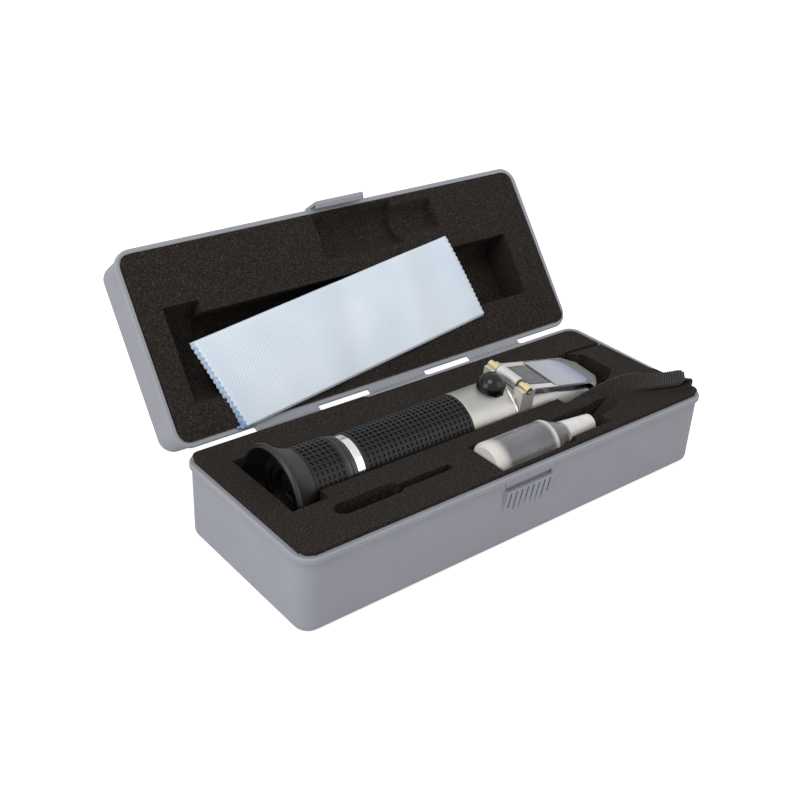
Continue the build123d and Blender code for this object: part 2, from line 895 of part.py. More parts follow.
with BuildPart() as bottle_body:
    with BuildSketch(bottle_plane):
        with BuildLine():
            Polyline(
                (bottle_rear, 0),
                (bottle_rear, bottle_radius - 1.6),
                (bottle_rear + 1.6, bottle_radius),
                (bottle_shoulder, bottle_radius),
                (bottle_shoulder + 0.5, bottle_radius - 0.5),
                (neck_rear - 1.0, 5.3),
                (neck_rear, bottle_neck_radius),
                (bottle_neck_front, bottle_neck_radius),
                (bottle_neck_front, bottle_neck_radius - bottle_wall),
                (neck_rear - 0.5, bottle_neck_radius - bottle_wall),
                (neck_rear - 1.6, 5.3 - bottle_wall),
                (bottle_shoulder, bottle_radius - bottle_wall - 0.4),
                (bottle_rear + 1.7, bottle_radius - bottle_wall),
                (bottle_rear + bottle_wall, bottle_radius - 1.8),
                (bottle_rear + bottle_wall, 0),
                close=True,
            )
        make_face()
    revolve(axis=bottle_axis)

finish(bottle_body, "bottle_body")

nozzle_plug_radius = bottle_neck_radius - bottle_wall - fit

with BuildPart() as bottle_nozzle:
    with BuildSketch(bottle_plane):
        with BuildLine():
            Polyline(
                (neck_rear + 1, 0.5),
                (nozzle_tip, 0.5),
                (nozzle_tip, 0.9),
                (bottle_neck_front + 1.0, 2.0),
                (bottle_neck_front + 1.0, bottle_neck_radius - 0.2),
                (bottle_neck_front + fit, bottle_neck_radius - 0.2),
                (bottle_neck_front + fit, nozzle_plug_radius),
                (neck_rear + 1, nozzle_plug_radius),
                close=True,
            )
        make_face()
    revolve(axis=bottle_axis)

finish(bottle_nozzle, "bottle_nozzle")

cap_start = neck_rear + 0.4

with BuildPart() as bottle_cap:
    with BuildSketch(bottle_plane):
        with BuildLine():
            Polyline(
                (cap_start, bottle_neck_radius + 0.06),
                (cap_start, cap_skirt_radius),
                (cap_end - 1.2, cap_end_radius + 0.1),
                (cap_end, cap_end_radius - 1.2),
                (cap_end, 0),
                (nozzle_tip + 0.4, 0),
                (nozzle_tip + 0.4, 1.6),
                (bottle_neck_front + 1.4, 2.8),
                (bottle_neck_front + 1.4, bottle_neck_radius + 0.06),
                close=True,
            )
        make_face()
    revolve(axis=bottle_axis)

finish(bottle_cap, "bottle_cap")

# Strap lug on the housing's near side
lug_radial = housing_radius + 1.9
lug_ring = 2.3
lug_hole = 1.2
lug_thick = 1.6

with BuildPart() as strap_lug:
    lug_origin = instrument_point(lug_x - lug_thick / 2, lug_radial, -lug_drop)
    with BuildSketch(Plane(origin=lug_origin, x_dir=local_near, z_dir=(1, 0, 0))):
        Circle(lug_ring)
        with Locations((-lug_ring / 2 - 0.4, 0)):
            Rectangle(lug_ring + 0.8, 2.4)
        Circle(lug_hole, mode=Mode.SUBTRACT)
    extrude(amount=lug_thick)
    turn([(0, 0), (2 * lug_x, 0), (2 * lug_x, housing_radius + 0.02), (0, housing_radius + 0.02)], mode=Mode.SUBTRACT)

finish(strap_lug, "strap_lug")

# Wrist strap bundled towards the right-hand corner of the case
strap_points = [
    (50.6, -9.5, 24.5),
    (58.5, -10.8, 27.5),
    (66.0, -14.5, 33.4),
    (75.0, -18.6, 38.0),
    (84.0, -23.0, 38.5),
    (93.5, -26.0, 40.5),
    (98.2, -29.0, 40.2),
    (98.6, -32.2, 36.4),
    (93.5, -31.5, 34.2),
    (84.0, -28.0, 34.3),
    (74.5, -22.5, 34.0),
    (65.0, -21.5, 34.2),
    (57.5, -22.8, 30.5),
    (52.0, -24.5, 26.0),
]


def corner_radii(points):
    """Bend radius at each inner point: as large as its two runs allow."""
    radii = []
    for before, here, after in zip(points, points[1:], points[2:]):
        incoming = Vector(here) - Vector(before)
        outgoing = Vector(after) - Vector(here)
        half_turn = math.radians(incoming.get_angle(outgoing)) / 2
        shorter = min(incoming.length, outgoing.length)
        radii.append(0.45 * shorter / math.tan(half_turn))
    return radii


strap_radii = corner_radii(strap_points)
print("strap bend radii:", [round(radius, 1) for radius in strap_radii])

with BuildPart() as wrist_strap:
    with BuildLine() as strap_path:
        FilletPolyline(*strap_points, radius=strap_radii)
    with BuildSketch(strap_path.line ^ 0):
        Circle(strap_diameter / 2)
    sweep()

strap_length = strap_path.wires()[0].length
strap_section = math.pi * strap_diameter**2 / 4
volume_ratio = wrist_strap.part.volume / strap_length / strap_section
print("strap length:", round(strap_length, 1), "volume ratio:", round(volume_ratio, 4))

finish(wrist_strap, "wrist_strap")
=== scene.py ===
"""Looks of the hand-held refractometer in its case: camera, light, finishes and soft pieces."""

import json
import math

import bpy
from mathutils import Matrix, Vector


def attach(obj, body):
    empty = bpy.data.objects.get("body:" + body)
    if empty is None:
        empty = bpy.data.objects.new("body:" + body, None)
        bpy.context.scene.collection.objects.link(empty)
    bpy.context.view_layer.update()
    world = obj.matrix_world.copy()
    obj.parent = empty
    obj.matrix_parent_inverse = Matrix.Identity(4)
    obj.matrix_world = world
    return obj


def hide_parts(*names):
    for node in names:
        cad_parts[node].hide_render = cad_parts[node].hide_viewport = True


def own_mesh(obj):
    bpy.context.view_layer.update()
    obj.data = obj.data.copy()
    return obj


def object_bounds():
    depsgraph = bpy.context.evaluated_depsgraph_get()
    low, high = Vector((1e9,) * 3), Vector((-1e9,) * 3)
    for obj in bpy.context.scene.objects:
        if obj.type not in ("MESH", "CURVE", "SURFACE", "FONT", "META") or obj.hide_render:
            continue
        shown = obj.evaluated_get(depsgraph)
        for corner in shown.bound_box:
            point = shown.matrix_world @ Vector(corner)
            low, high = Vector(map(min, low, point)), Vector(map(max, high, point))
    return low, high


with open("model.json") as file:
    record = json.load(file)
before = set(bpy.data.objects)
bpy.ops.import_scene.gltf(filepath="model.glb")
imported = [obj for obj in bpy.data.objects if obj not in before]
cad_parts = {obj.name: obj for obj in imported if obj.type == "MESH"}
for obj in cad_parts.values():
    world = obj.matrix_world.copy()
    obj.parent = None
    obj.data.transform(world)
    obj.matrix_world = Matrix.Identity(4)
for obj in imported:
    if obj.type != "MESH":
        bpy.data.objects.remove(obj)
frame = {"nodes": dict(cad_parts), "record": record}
cad_box = [list(corner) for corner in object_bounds()]
scene = bpy.context.scene
MM = 0.001


# Camera, at the photograph's place, with the shift that its framing needs
CAMERA_ANGLES = (-39.735, 26.404, 3.068)
CAMERA_PLACE = (-0.28008, -0.28931, 0.26439)
CAMERA_SENSOR = 36
CAMERA_LENS = 53.11
CAMERA_SHIFT = (0.01416, -0.0704)


def aim_camera():
    azimuth, elevation, roll = (math.radians(v) for v in CAMERA_ANGLES)
    back = Vector((
        math.sin(azimuth) * math.cos(elevation),
        -math.cos(azimuth) * math.cos(elevation),
        math.sin(elevation),
    ))
    right = Vector((math.cos(azimuth), math.sin(azimuth), 0))
    up = back.cross(right)
    rolled_right = right * math.cos(roll) + up * math.sin(roll)
    rolled_up = up * math.cos(roll) - right * math.sin(roll)
    camera = bpy.data.objects.new("camera", bpy.data.cameras.new("camera"))
    matrix = Matrix((rolled_right, rolled_up, back)).transposed().to_4x4()
    matrix.translation = Vector(CAMERA_PLACE)
    camera.matrix_world = matrix
    camera.data.sensor_width = CAMERA_SENSOR
    camera.data.lens = CAMERA_LENS
    camera.data.shift_x, camera.data.shift_y = CAMERA_SHIFT
    camera.data.clip_start = 0.01
    scene.collection.objects.link(camera)
    scene.camera = camera


aim_camera()


# Places on the instrument, which lies in its foam rolled by a few degrees
AXIS = Vector((0, 5, 28))
ROLL = math.radians(6)
LOCAL_UP = Vector((0, -math.sin(ROLL), math.cos(ROLL)))
LOCAL_NEAR = Vector((0, -math.cos(ROLL), -math.sin(ROLL)))


def instrument_point(x, near, height):
    return (AXIS + Vector((x, 0, 0)) + LOCAL_NEAR * near + LOCAL_UP * height) * MM


def around(x, angle, radius):
    """Point on the instrument, its angle turned from the top towards the near side."""
    return instrument_point(x, radius * math.sin(angle), radius * math.cos(angle))


# Places on the open lid
OPEN = math.radians(127.4)
FOLD = Vector((0, 40.4, 31.85))


def lid_direction(across, outward):
    return Vector((
        0,
        -across * math.cos(OPEN) - outward * math.sin(OPEN),
        across * math.sin(OPEN) - outward * math.cos(OPEN),
    ))


def lid_point(x, across, outward):
    return (FOLD + Vector((x, 0, 0)) + lid_direction(across, outward)) * MM


def mesh_piece(name, points, faces, body, smooth=True, crease_angle=35):
    """A visible piece that rides on the body, from points in metres."""
    mesh = bpy.data.meshes.new(name)
    mesh.from_pydata([tuple(p) for p in points], [], faces)
    mesh.validate()
    mesh.update()
    piece = bpy.data.objects.new(name, mesh)
    scene.collection.objects.link(piece)
    if smooth:
        mesh.shade_smooth()
        mesh.set_sharp_from_angle(angle=math.radians(crease_angle))
    else:
        mesh.shade_flat()
    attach(piece, body)
    return piece


# Wrist strap: flat ribbed webbing along one smooth line
STRAP_POINTS = [
    (50.6, -9.5, 24.5), (58.5, -11.8, 28.5), (66.0, -16.0, 34.0), (75.0, -19.8, 37.0),
    (84.0, -24.0, 36.6), (92.0, -27.6, 37.0), (97.6, -29.6, 37.4), (98.4, -30.2, 35.4),
    (93.5, -28.0, 34.3), (84.0, -24.6, 33.9), (75.5, -22.4, 33.8), (67.0, -22.2, 33.2),
    (59.0, -23.2, 30.0), (52.0, -24.5, 26.0),
]
STRAP_WIDTH = 8.0
STRAP_THICK = 1.5
# Outline of the webbing in half widths and half thicknesses
STRAP_SECTION = (
    (-1, -0.35), (-0.93, -1), (-0.5, -1), (0, -1), (0.5, -1), (0.93, -1), (1, -0.35),
    (1, 0.35), (0.93, 1), (0.5, 1), (0, 1), (-0.5, 1), (-0.93, 1), (-1, 0.35),
)
# It leaves the instrument leaning on its edge and lies flat after a share of its length
LEANING = Vector((0.1, 0.62, 0.78))
LYING = Vector((0.3, 0.93, 0.22))
LEAN_SHARE = 0.22
TURN_SHARE = 0.2
STRAP_STEP = 0.27
STEPS_PER_RIB = 4
RIB_HEIGHT = 0.42
RIB_SLANT = 0.45


def spline_points(points):
    """Points along the smooth line that the given points steer."""
    curve = bpy.data.curves.new("route", "CURVE")
    curve.dimensions = "3D"
    spline = curve.splines.new("NURBS")
    spline.points.add(len(points) - 1)
    for target, point in zip(spline.points, points):
        target.co = (*(Vector(point) * MM), 1)
    spline.order_u = 3
    spline.use_endpoint_u = True
    spline.resolution_u = 14
    route = bpy.data.objects.new("route", curve)
    scene.collection.objects.link(route)
    bpy.context.view_layer.update()
    mesh = bpy.data.meshes.new_from_object(route)
    line = [v.co.copy() for v in mesh.vertices]
    bpy.data.meshes.remove(mesh)
    bpy.data.objects.remove(route)
    bpy.data.curves.remove(curve)
    return line


def line_length(line):
    return sum((b - a).length for a, b in zip(line, line[1:]))


def evenly(line, step):
    """The same line with its points a fixed step apart."""
    count = max(2, round(line_length(line) / step))
    spacing = line_length(line) / count
    out = [line[0]]
    travelled = 0.0
    for a, b in zip(line, line[1:]):
        span = (b - a).length
        while travelled + span >= spacing * len(out) and len(out) < count:
            out.append(a.lerp(b, (spacing * len(out) - travelled) / span))
        travelled += span
    out.append(line[-1])
    return out


def make_strap():
    line = evenly(spline_points(STRAP_POINTS), STRAP_STEP * MM)
    half_w, half_t = STRAP_WIDTH / 2 * MM, STRAP_THICK / 2 * MM
    section = [(across * half_w, thick * half_t) for across, thick in STRAP_SECTION]
    points, faces = [], []
    total = len(line)
    for i, centre in enumerate(line):
        before, after = line[max(0, i - 2)], line[min(total - 1, i + 2)]
        along = (after - before).normalized()
        share = i / (total - 1)
        laid_flat = min(1.0, max(0.0, (share - LEAN_SHARE) / TURN_SHARE))
        width = LEANING.lerp(LYING, laid_flat)
        width = (width - along * width.dot(along)).normalized()
        face_out = along.cross(width)
        rib = 1 + RIB_HEIGHT * math.cos(2 * math.pi * i / STEPS_PER_RIB)
        for across, thick in section:
            slant = along * across * RIB_SLANT
            points.append(centre + width * across + slant + face_out * thick * rib)
    n = len(section)
    for i in range(total - 1):
        for j in range(n):
            k = (j + 1) % n
            faces.append((i * n + j, i * n + k, (i + 1) * n + k, (i + 1) * n + j))
    faces.append(tuple(range(n - 1, -1, -1)))
    faces.append(tuple((total - 1) * n + j for j in range(n)))
    strap = mesh_piece("strap_webbing", points, faces, "instrument")
    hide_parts("wrist_strap")
    return strap


strap = make_strap()


# Grip and focus ring: rubber sleeves with square recessed cells
CELL_TAPER = 0.12
END_CHAMFER = 0.25


def celled_sleeve(name, body, rear, front, rear_radius, front_radius, inner, columns, rows,
                  margin, depth, rib):
    """Sleeve between two places on the axis, with columns along it and rows around it."""

    def radius_at(x):
        return rear_radius + (front_radius - rear_radius) * (x - rear) / (front - rear)

    points, faces = [], []

    def add(x, angle, radius):
        points.append(around(x, angle, radius))
        return len(points) - 1

    turn = 2 * math.pi / rows
    pitch = (front - rear - 2 * margin) / columns
    edges = [rear + margin + pitch * i for i in range(columns + 1)]
    grid = [[add(x, turn * j, radius_at(x)) for j in range(rows)] for x in edges]
    for i in range(columns):
        for j in range(rows):
            k = (j + 1) % rows
            corners = [grid[i][j], grid[i + 1][j], grid[i + 1][k], grid[i][k]]
            x0, x1 = edges[i], edges[i + 1]
            r0, r1 = radius_at(x0), radius_at(x1)
            a0, a1 = turn * j, turn * (j + 1)
            dx, da = rib / 2, rib / 2 / r0
            top = [
                add(x0 + dx, a0 + da, r0), add(x1 - dx, a0 + da, r1),
                add(x1 - dx, a1 - da, r1), add(x0 + dx, a1 - da, r0),
            ]
            dx, da = dx + CELL_TAPER, da + CELL_TAPER / r0
            low = [
                add(x0 + dx, a0 + da, r0 - depth), add(x1 - dx, a0 + da, r1 - depth),
                add(x1 - dx, a1 - da, r1 - depth), add(x0 + dx, a1 - da, r0 - depth),
            ]
            for a, b in ((0, 1), (1, 2), (2, 3), (3, 0)):
                faces.append((corners[a], corners[b], top[b], top[a]))
                faces.append((top[a], top[b], low[b], low[a]))
            faces.append(tuple(low))
    ends = []
    for x, outer_ring, sign in ((rear, grid[0], 1), (front, grid[-1], -1)):
        shoulder = [add(x + sign * END_CHAMFER, turn * j, radius_at(x)) for j in range(rows)]
        rim = [add(x, turn * j, radius_at(x) - END_CHAMFER) for j in range(rows)]
        bore = [add(x, turn * j, inner) for j in range(rows)]
        for first, second in ((outer_ring, shoulder), (shoulder, rim), (rim, bore)):
            for j in range(rows):
                k = (j + 1) % rows
                quad = (first[j], second[j], second[k], first[k])
                faces.append(quad[::sign])
        ends.append(bore)
    for j in range(rows):
        k = (j + 1) % rows
        faces.append((ends[0][j], ends[1][j], ends[1][k], ends[0][k]))
    return mesh_piece(name, points, faces, body, smooth=False)


def turned(name, body, profile, segments=96):
    """Ring on the instrument's axis from a closed outline of (x, radius)."""
    points, faces = [], []
    n = len(profile)
    for s in range(segments):
        for x, radius in profile:
            points.append(around(x, 2 * math.pi * s / segments, radius))
    for s in range(segments):
        t = (s + 1) % segments
        for i in range(n):
            k = (i + 1) % n
            faces.append((s * n + i, s * n + k, t * n + k, t * n + i))
    return mesh_piece(name, points, faces, body, crease_angle=30)


grip = celled_sleeve(
    "grip_cells", "instrument",
    rear=-52.4, front=0, rear_radius=12.75, front_radius=13.4, inner=11.95,
    columns=23, rows=40, margin=0.9, depth=0.55, rib=0.7,
)
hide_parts("grip_sleeve")
focus_cells = celled_sleeve(
    "focus_ring_cells", "focus_ring_body",
    rear=-75.2, front=-61.2, rear_radius=13.8, front_radius=13.8, inner=13.2,
    columns=6, rows=38, margin=0.6, depth=0.5, rib=0.7,
)
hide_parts("focus_ring")
focus_core = turned(
    "focus_ring_core", "focus_ring_body",
    [
        (-80.5, 9.7), (-56.4, 11.0), (-56.4, 13.0), (-56.6, 13.2), (-58.0, 13.2),
        (-58.2, 12.95), (-58.5, 12.95), (-58.7, 13.2), (-59.3, 13.2), (-59.5, 13.75),
        (-60.2, 13.75), (-60.4, 13.45), (-60.7, 13.45), (-60.9, 13.75), (-61.15, 13.75),
        (-61.25, 13.15), (-75.3, 13.15), (-75.4, 12.0), (-80.5, 12.0),
    ],
)


# Foam blocks: they stand a little proud and spread over the inner half of the rims, less so at the
# end beside the strap, where the case's rim stays in sight
FOAM_HALF_LENGTH = 94.0
FOAM_HALF_WIDTH = 30.5
FOAM_SPREAD = 1.7
BASE_RISE = 1.7
LID_RISE = 0.9
SUNK_RISE = 0.25
SUNK_SPREAD = 0.6
SUNK_REACH = 20


def puffed_foam(name, node, body, middle, surface, moved, limit):
    """The node's form, its open face above the limit raised and its outer edge pushed out."""
    mesh = frame["nodes"][node].data.copy()
    mesh.name = name
    for vertex in mesh.vertices:
        x, across, level = surface(vertex.co)
        if level < limit:
            continue
        push_x = math.copysign(FOAM_SPREAD, x) if abs(x) > FOAM_HALF_LENGTH else 0.0
        push_across = 0.0
        if abs(across - middle) > FOAM_HALF_WIDTH:
            push_across = math.copysign(FOAM_SPREAD, across - middle)
        raised = 1.0
        if push_x > 0 and across > middle - SUNK_REACH:
            push_x *= SUNK_SPREAD
            raised = SUNK_RISE
        vertex.co = vertex.co + moved(push_x, push_across, raised)
    mesh.update()
    piece = bpy.data.objects.new(name, mesh)
    scene.collection.objects.link(piece)
    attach(piece, body)
    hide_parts(node)
    return piece


def base_surface(co):
    return co / MM


def lid_surface(co):
    place = co / MM - FOLD
    return place.x, place.dot(lid_direction(1, 0)), place.dot(lid_direction(0, 1))


def base_move(along, across, raised):
    return Vector((along, across, BASE_RISE * raised)) * MM


def lid_move(along, across, raised):
    return (Vector((along, 0, 0)) + lid_direction(across, LID_RISE * raised)) * MM


base_foam_piece = puffed_foam(
    "base_foam_block", "base_foam", "case", 0.0, base_surface, base_move, limit=31.0,
)
lid_foam_piece = puffed_foam(
    "lid_foam_block", "lid_foam", "lid", FOLD.y, lid_surface, lid_move, limit=-0.8,
)
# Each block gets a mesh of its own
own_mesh(base_foam_piece)
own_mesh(lid_foam_piece)


# Hinge: the bead along the fold on each of the three straps, and the slots' round ends
HINGE_STRAPS = (("left", -69.2, -40.0), ("middle", -14.5, 14.5), ("right", 40.0, 69.2))


def hinge_bead(name, start, stop):
    sides, radius = 12, 0.62
    points = []
    for x in (start, stop):
        for s in range(sides):
            turn = 2 * math.pi * s / sides
            ring = Vector((x, radius * math.cos(turn), radius * math.sin(turn)))
            points.append((FOLD + ring) * MM)
    faces = [(s, (s + 1) % sides, sides + (s + 1) % sides, sides + s) for s in range(sides)]
    faces += [tuple(range(sides - 1, -1, -1)), tuple(range(sides, 2 * sides))]
    return mesh_piece(name, points, faces, "case", crease_angle=50)


hinge_beads = [hinge_bead(f"hinge_bead_{side}", *span) for side, *span in HINGE_STRAPS]

SLOT_EDGE = 1.2
FILLET = 1.1
FILLET_TOP = -0.06
FILLET_BOTTOM = -0.84
FILLET_OVERLAP = 0.1


def slot_fillets(name, body, place):
    """A fillet in each corner of the slots, place giving (x, distance from the fold, level)."""
    steps = 6
    outer = SLOT_EDGE + FILLET_OVERLAP
    points, faces = [], []
    for x, side in [end for _, start, stop in HINGE_STRAPS for end in ((start, -1), (stop, 1))]:
        inner = x - side * FILLET_OVERLAP
        outline = [(inner, outer), (inner, SLOT_EDGE - FILLET)]
        for i in range(steps + 1):
            turn = math.pi / 2 * i / steps
            away = 1 - math.cos(turn), 1 - math.sin(turn)
            outline.append((x + side * FILLET * away[0], SLOT_EDGE - FILLET * away[1]))
        outline.append((x + side * FILLET, outer))
        first, n = len(points), len(outline)
        for level in (FILLET_TOP, FILLET_BOTTOM):
            points += [place(a, b, level) for a, b in outline]
        faces.append(tuple(range(first, first + n)))
        faces.append(tuple(range(first + 2 * n - 1, first + n - 1, -1)))
        for i in range(n):
            k = (i + 1) % n
            faces.append((first + i, first + n + i, first + n + k, first + k))
    return mesh_piece(name, points, faces, body, crease_angle=40)


def base_hinge_point(x, across, level):
    return (FOLD + Vector((x, -across, level))) * MM


base_fillets = slot_fillets("slot_fillets_base", "case", base_hinge_point)
lid_fillets = slot_fillets("slot_fillets_lid", "lid", lid_point)


# Daylight plate: the dark window, the frosted face and their edges, and the hinge's barrel
PLATE_BODY = "daylight_plate_body"
SLOPE = math.radians(12.5)
PLATE_REAR, PLATE_TOP = 31, 14.27
PATCH_BOTTOM = -0.1


def plate_point(x, near, lift):
    height = PLATE_TOP - math.tan(SLOPE) * (x - PLATE_REAR) + lift / math.cos(SLOPE)
    return instrument_point(x, near, height)


def plate_patch(name, outline, high):
    """Thin slab on the plate's top face, from its outline of (x, near) points."""
    n = len(outline)
    points = [plate_point(x, near, PATCH_BOTTOM) for x, near in outline]
    points += [plate_point(x, near, high) for x, near in outline]
    faces = [tuple(range(n - 1, -1, -1)), tuple(range(n, 2 * n))]
    faces += [(i, (i + 1) % n, n + (i + 1) % n, n + i) for i in range(n)]
    return mesh_piece(name, points, faces, PLATE_BODY, smooth=False)


def rounded_end(x, near, radius, start, stop, steps=8):
    """Outline points on an arc about (x, near), from start to stop in degrees."""
    turns = [math.radians(start + (stop - start) * i / steps) for i in range(steps + 1)]
    return [(x + radius * math.cos(a), near + radius * math.sin(a)) for a in turns]


window = plate_patch(
    "plate_window", [(32, -6.6), (44, -7.4), (44, 7.0), (33, 6.6)], 0.03,
)
frame_near = plate_patch(
    "plate_frame_near", [(31.5, 7.2), (46, 7.6), (46, 10.4), (31.5, 10.2)], 0.05,
)
frame_far = plate_patch(
    "plate_frame_far", [(31.5, -10.4), (46, -10.4), (46, -8.0), (31.5, -7.4)], 0.05,
)
joint_line = plate_patch(
    "plate_joint", [(44.6, -9.6), (45.6, -9.6), (45.9, 9.6), (44.9, 9.6)], 0.06,
)
frosted = plate_patch(
    "plate_frosted",
    [(46.2, 10.0), (46.2, -9.8)]
    + rounded_end(60.0, -1.8, 8.0, -90, 0) + rounded_end(62.5, 4.5, 5.5, 0, 90),
    0.04,
)

PIN_X, PIN_HEIGHT = 27.6, 14.9


def hinge_barrel():
    """Barrel of the plate's hinge, between the bushings, from a profile of (near, radius)."""
    sides, radius, chamfer = 32, 2.56, 0.3
    profile = [(-5.9, radius - chamfer), (-5.6, radius), (5.6, radius), (5.9, radius - chamfer)]
    points, faces = [], []
    n = len(profile)
    for s in range(sides):
        a = 2 * math.pi * s / sides
        for near, r in profile:
            x, height = PIN_X + r * math.cos(a), PIN_HEIGHT + r * math.sin(a)
            points.append(instrument_point(x, near, height))
    for s in range(sides):
        t = (s + 1) % sides
        for i in range(n - 1):
            faces.append((s * n + i, s * n + i + 1, t * n + i + 1, t * n + i))
    for i in (0, n - 1):
        faces.append(tuple(s * n + i for s in range(sides)))
    return mesh_piece("plate_hinge_barrel", points, faces, PLATE_BODY)


barrel_cover = hinge_barrel()


# Cleaning cloth: one sheet folded into four, with pinked ends; its corners are given on the lid by
# x and by the distance from the fold
CLOTH_LEFT = (Vector((-72.9, 1.9)), Vector((-83.1, 38.7)))
CLOTH_RIGHT = (Vector((54.9, 16.3)), Vector((49.4, 54.5)))
CLOTH_LAYERS = 4
CLOTH_THICK = 0.25
LAYER_GAP = 0.42
LOWEST_LAYER = 0.25
LAYER_BULGE = 0.12
# Shares of the cloth's depth: where each layer starts, how long it is, how far its turn reaches
LAYER_START, LAYER_SPAN, TURN_REACH = 0.012, 0.976, 0.004
CLOTH_STEP = 0.65
CLOTH_COLUMNS = 96
SCALLOP_PITCH = 2.2
SCALLOP_DEPTH, SCALLOP_BACK = 0.75, 0.4
# Each lower layer sticks out further at the left end and is painted a shaded blue there, as painted
# shade under the layers above it, both most of all at the fold
STICK_OUT, STICK_OUT_AT_FOLD = 0.42, 0.9
UNDER_SHADE, UNDER_SHADE_AT_FOLD = 0.4, 0.6
SHADED_COLUMNS = 4
# Soft folds: x of the middle, width and height
CLOTH_FOLDS = ((-30, 8, 0.65), (-17, 6, -0.35), (16, 7, 0.6), (31, 8, -0.45), (44, 6, 0.35))
FOLD_LEAN = 0.15
RIPPLE_HEIGHT, RIPPLE_RATE = 0.3, 0.11
STAND_OFF = 0.5


def cloth_profile(per_layer):
    """The folded sheet seen from its end, as (share of its depth, level) points."""
    profile = []
    for layer in range(CLOTH_LAYERS):
        level = LOWEST_LAYER + LAYER_GAP * layer
        forward = layer % 2 == 0
        for s in range(per_layer + 1) if forward else range(per_layer, -1, -1):
            share = s / per_layer
            bulge = LAYER_BULGE * math.sin(math.pi * share) * layer
            profile.append((LAYER_START + LAYER_SPAN * share, level + bulge))
        if layer < CLOTH_LAYERS - 1:
            turn = 1 + TURN_REACH if forward else -TURN_REACH
            profile.append((turn, level + LAYER_GAP / 2))
    return profile


def cloth_wave(place):
    """How far the cloth stands off the foam, with its soft folds."""
    wave = 0.0
    for centre, width, height in CLOTH_FOLDS:
        wave += height * math.exp(-((place.x - centre - FOLD_LEAN * place.y) / width) ** 2)
    return wave + RIPPLE_HEIGHT * math.sin(place.x * RIPPLE_RATE) + STAND_OFF


def make_cloth():
    depth = (CLOTH_LEFT[1] - CLOTH_LEFT[0]).length
    profile = cloth_profile(round(depth / CLOTH_STEP))
    points, faces, under = [], [], []
    for share, level in profile:
        below = CLOTH_LAYERS - 1 - min(CLOTH_LAYERS - 1, int(level / LAYER_GAP))
        scallop = abs(math.sin(math.pi * share * depth / SCALLOP_PITCH))
        tooth = SCALLOP_DEPTH * scallop - SCALLOP_BACK
        stick_out = (STICK_OUT + STICK_OUT_AT_FOLD * (1 - share) ** 5) * below
        left = CLOTH_LEFT[0].lerp(CLOTH_LEFT[1], share) + Vector((-tooth - stick_out, 0))
        right = CLOTH_RIGHT[0].lerp(CLOTH_RIGHT[1], share) + Vector((tooth, 0))
        # Painted shade: the first columns of the lower layers, at the left end, get a shaded blue,
        # strongest at the fold
        under_shade = UNDER_SHADE + UNDER_SHADE_AT_FOLD * (1 - share) ** 3
        for c in range(CLOTH_COLUMNS + 1):
            place = left.lerp(right, c / CLOTH_COLUMNS)
            points.append(lid_point(place.x, place.y, level + cloth_wave(place)))
            under.append(under_shade if below and c < SHADED_COLUMNS else 0.0)
    width = CLOTH_COLUMNS + 1
    for row in range(len(profile) - 1):
        for c in range(CLOTH_COLUMNS):
            a = row * width + c
            faces.append((a, a + 1, a + width + 1, a + width))
    cloth = mesh_piece("folded_cloth", points, faces, "lid", crease_angle=180)
    cloth.data.attributes.new("under", "FLOAT", "POINT").data.foreach_set("value", under)
    thicken = cloth.modifiers.new("thickness", "SOLIDIFY")
    thicken.thickness = CLOTH_THICK * MM
    thicken.offset = 0
    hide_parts("cleaning_cloth")
    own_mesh(cloth)
    return cloth


cloth = make_cloth()


# Finishes
def linear(r, g, b):
    def channel(v):
        v /= 255
        return v / 12.92 if v <= 0.04045 else ((v + 0.055) / 1.055) ** 2.4
    return (channel(r), channel(g), channel(b), 1)


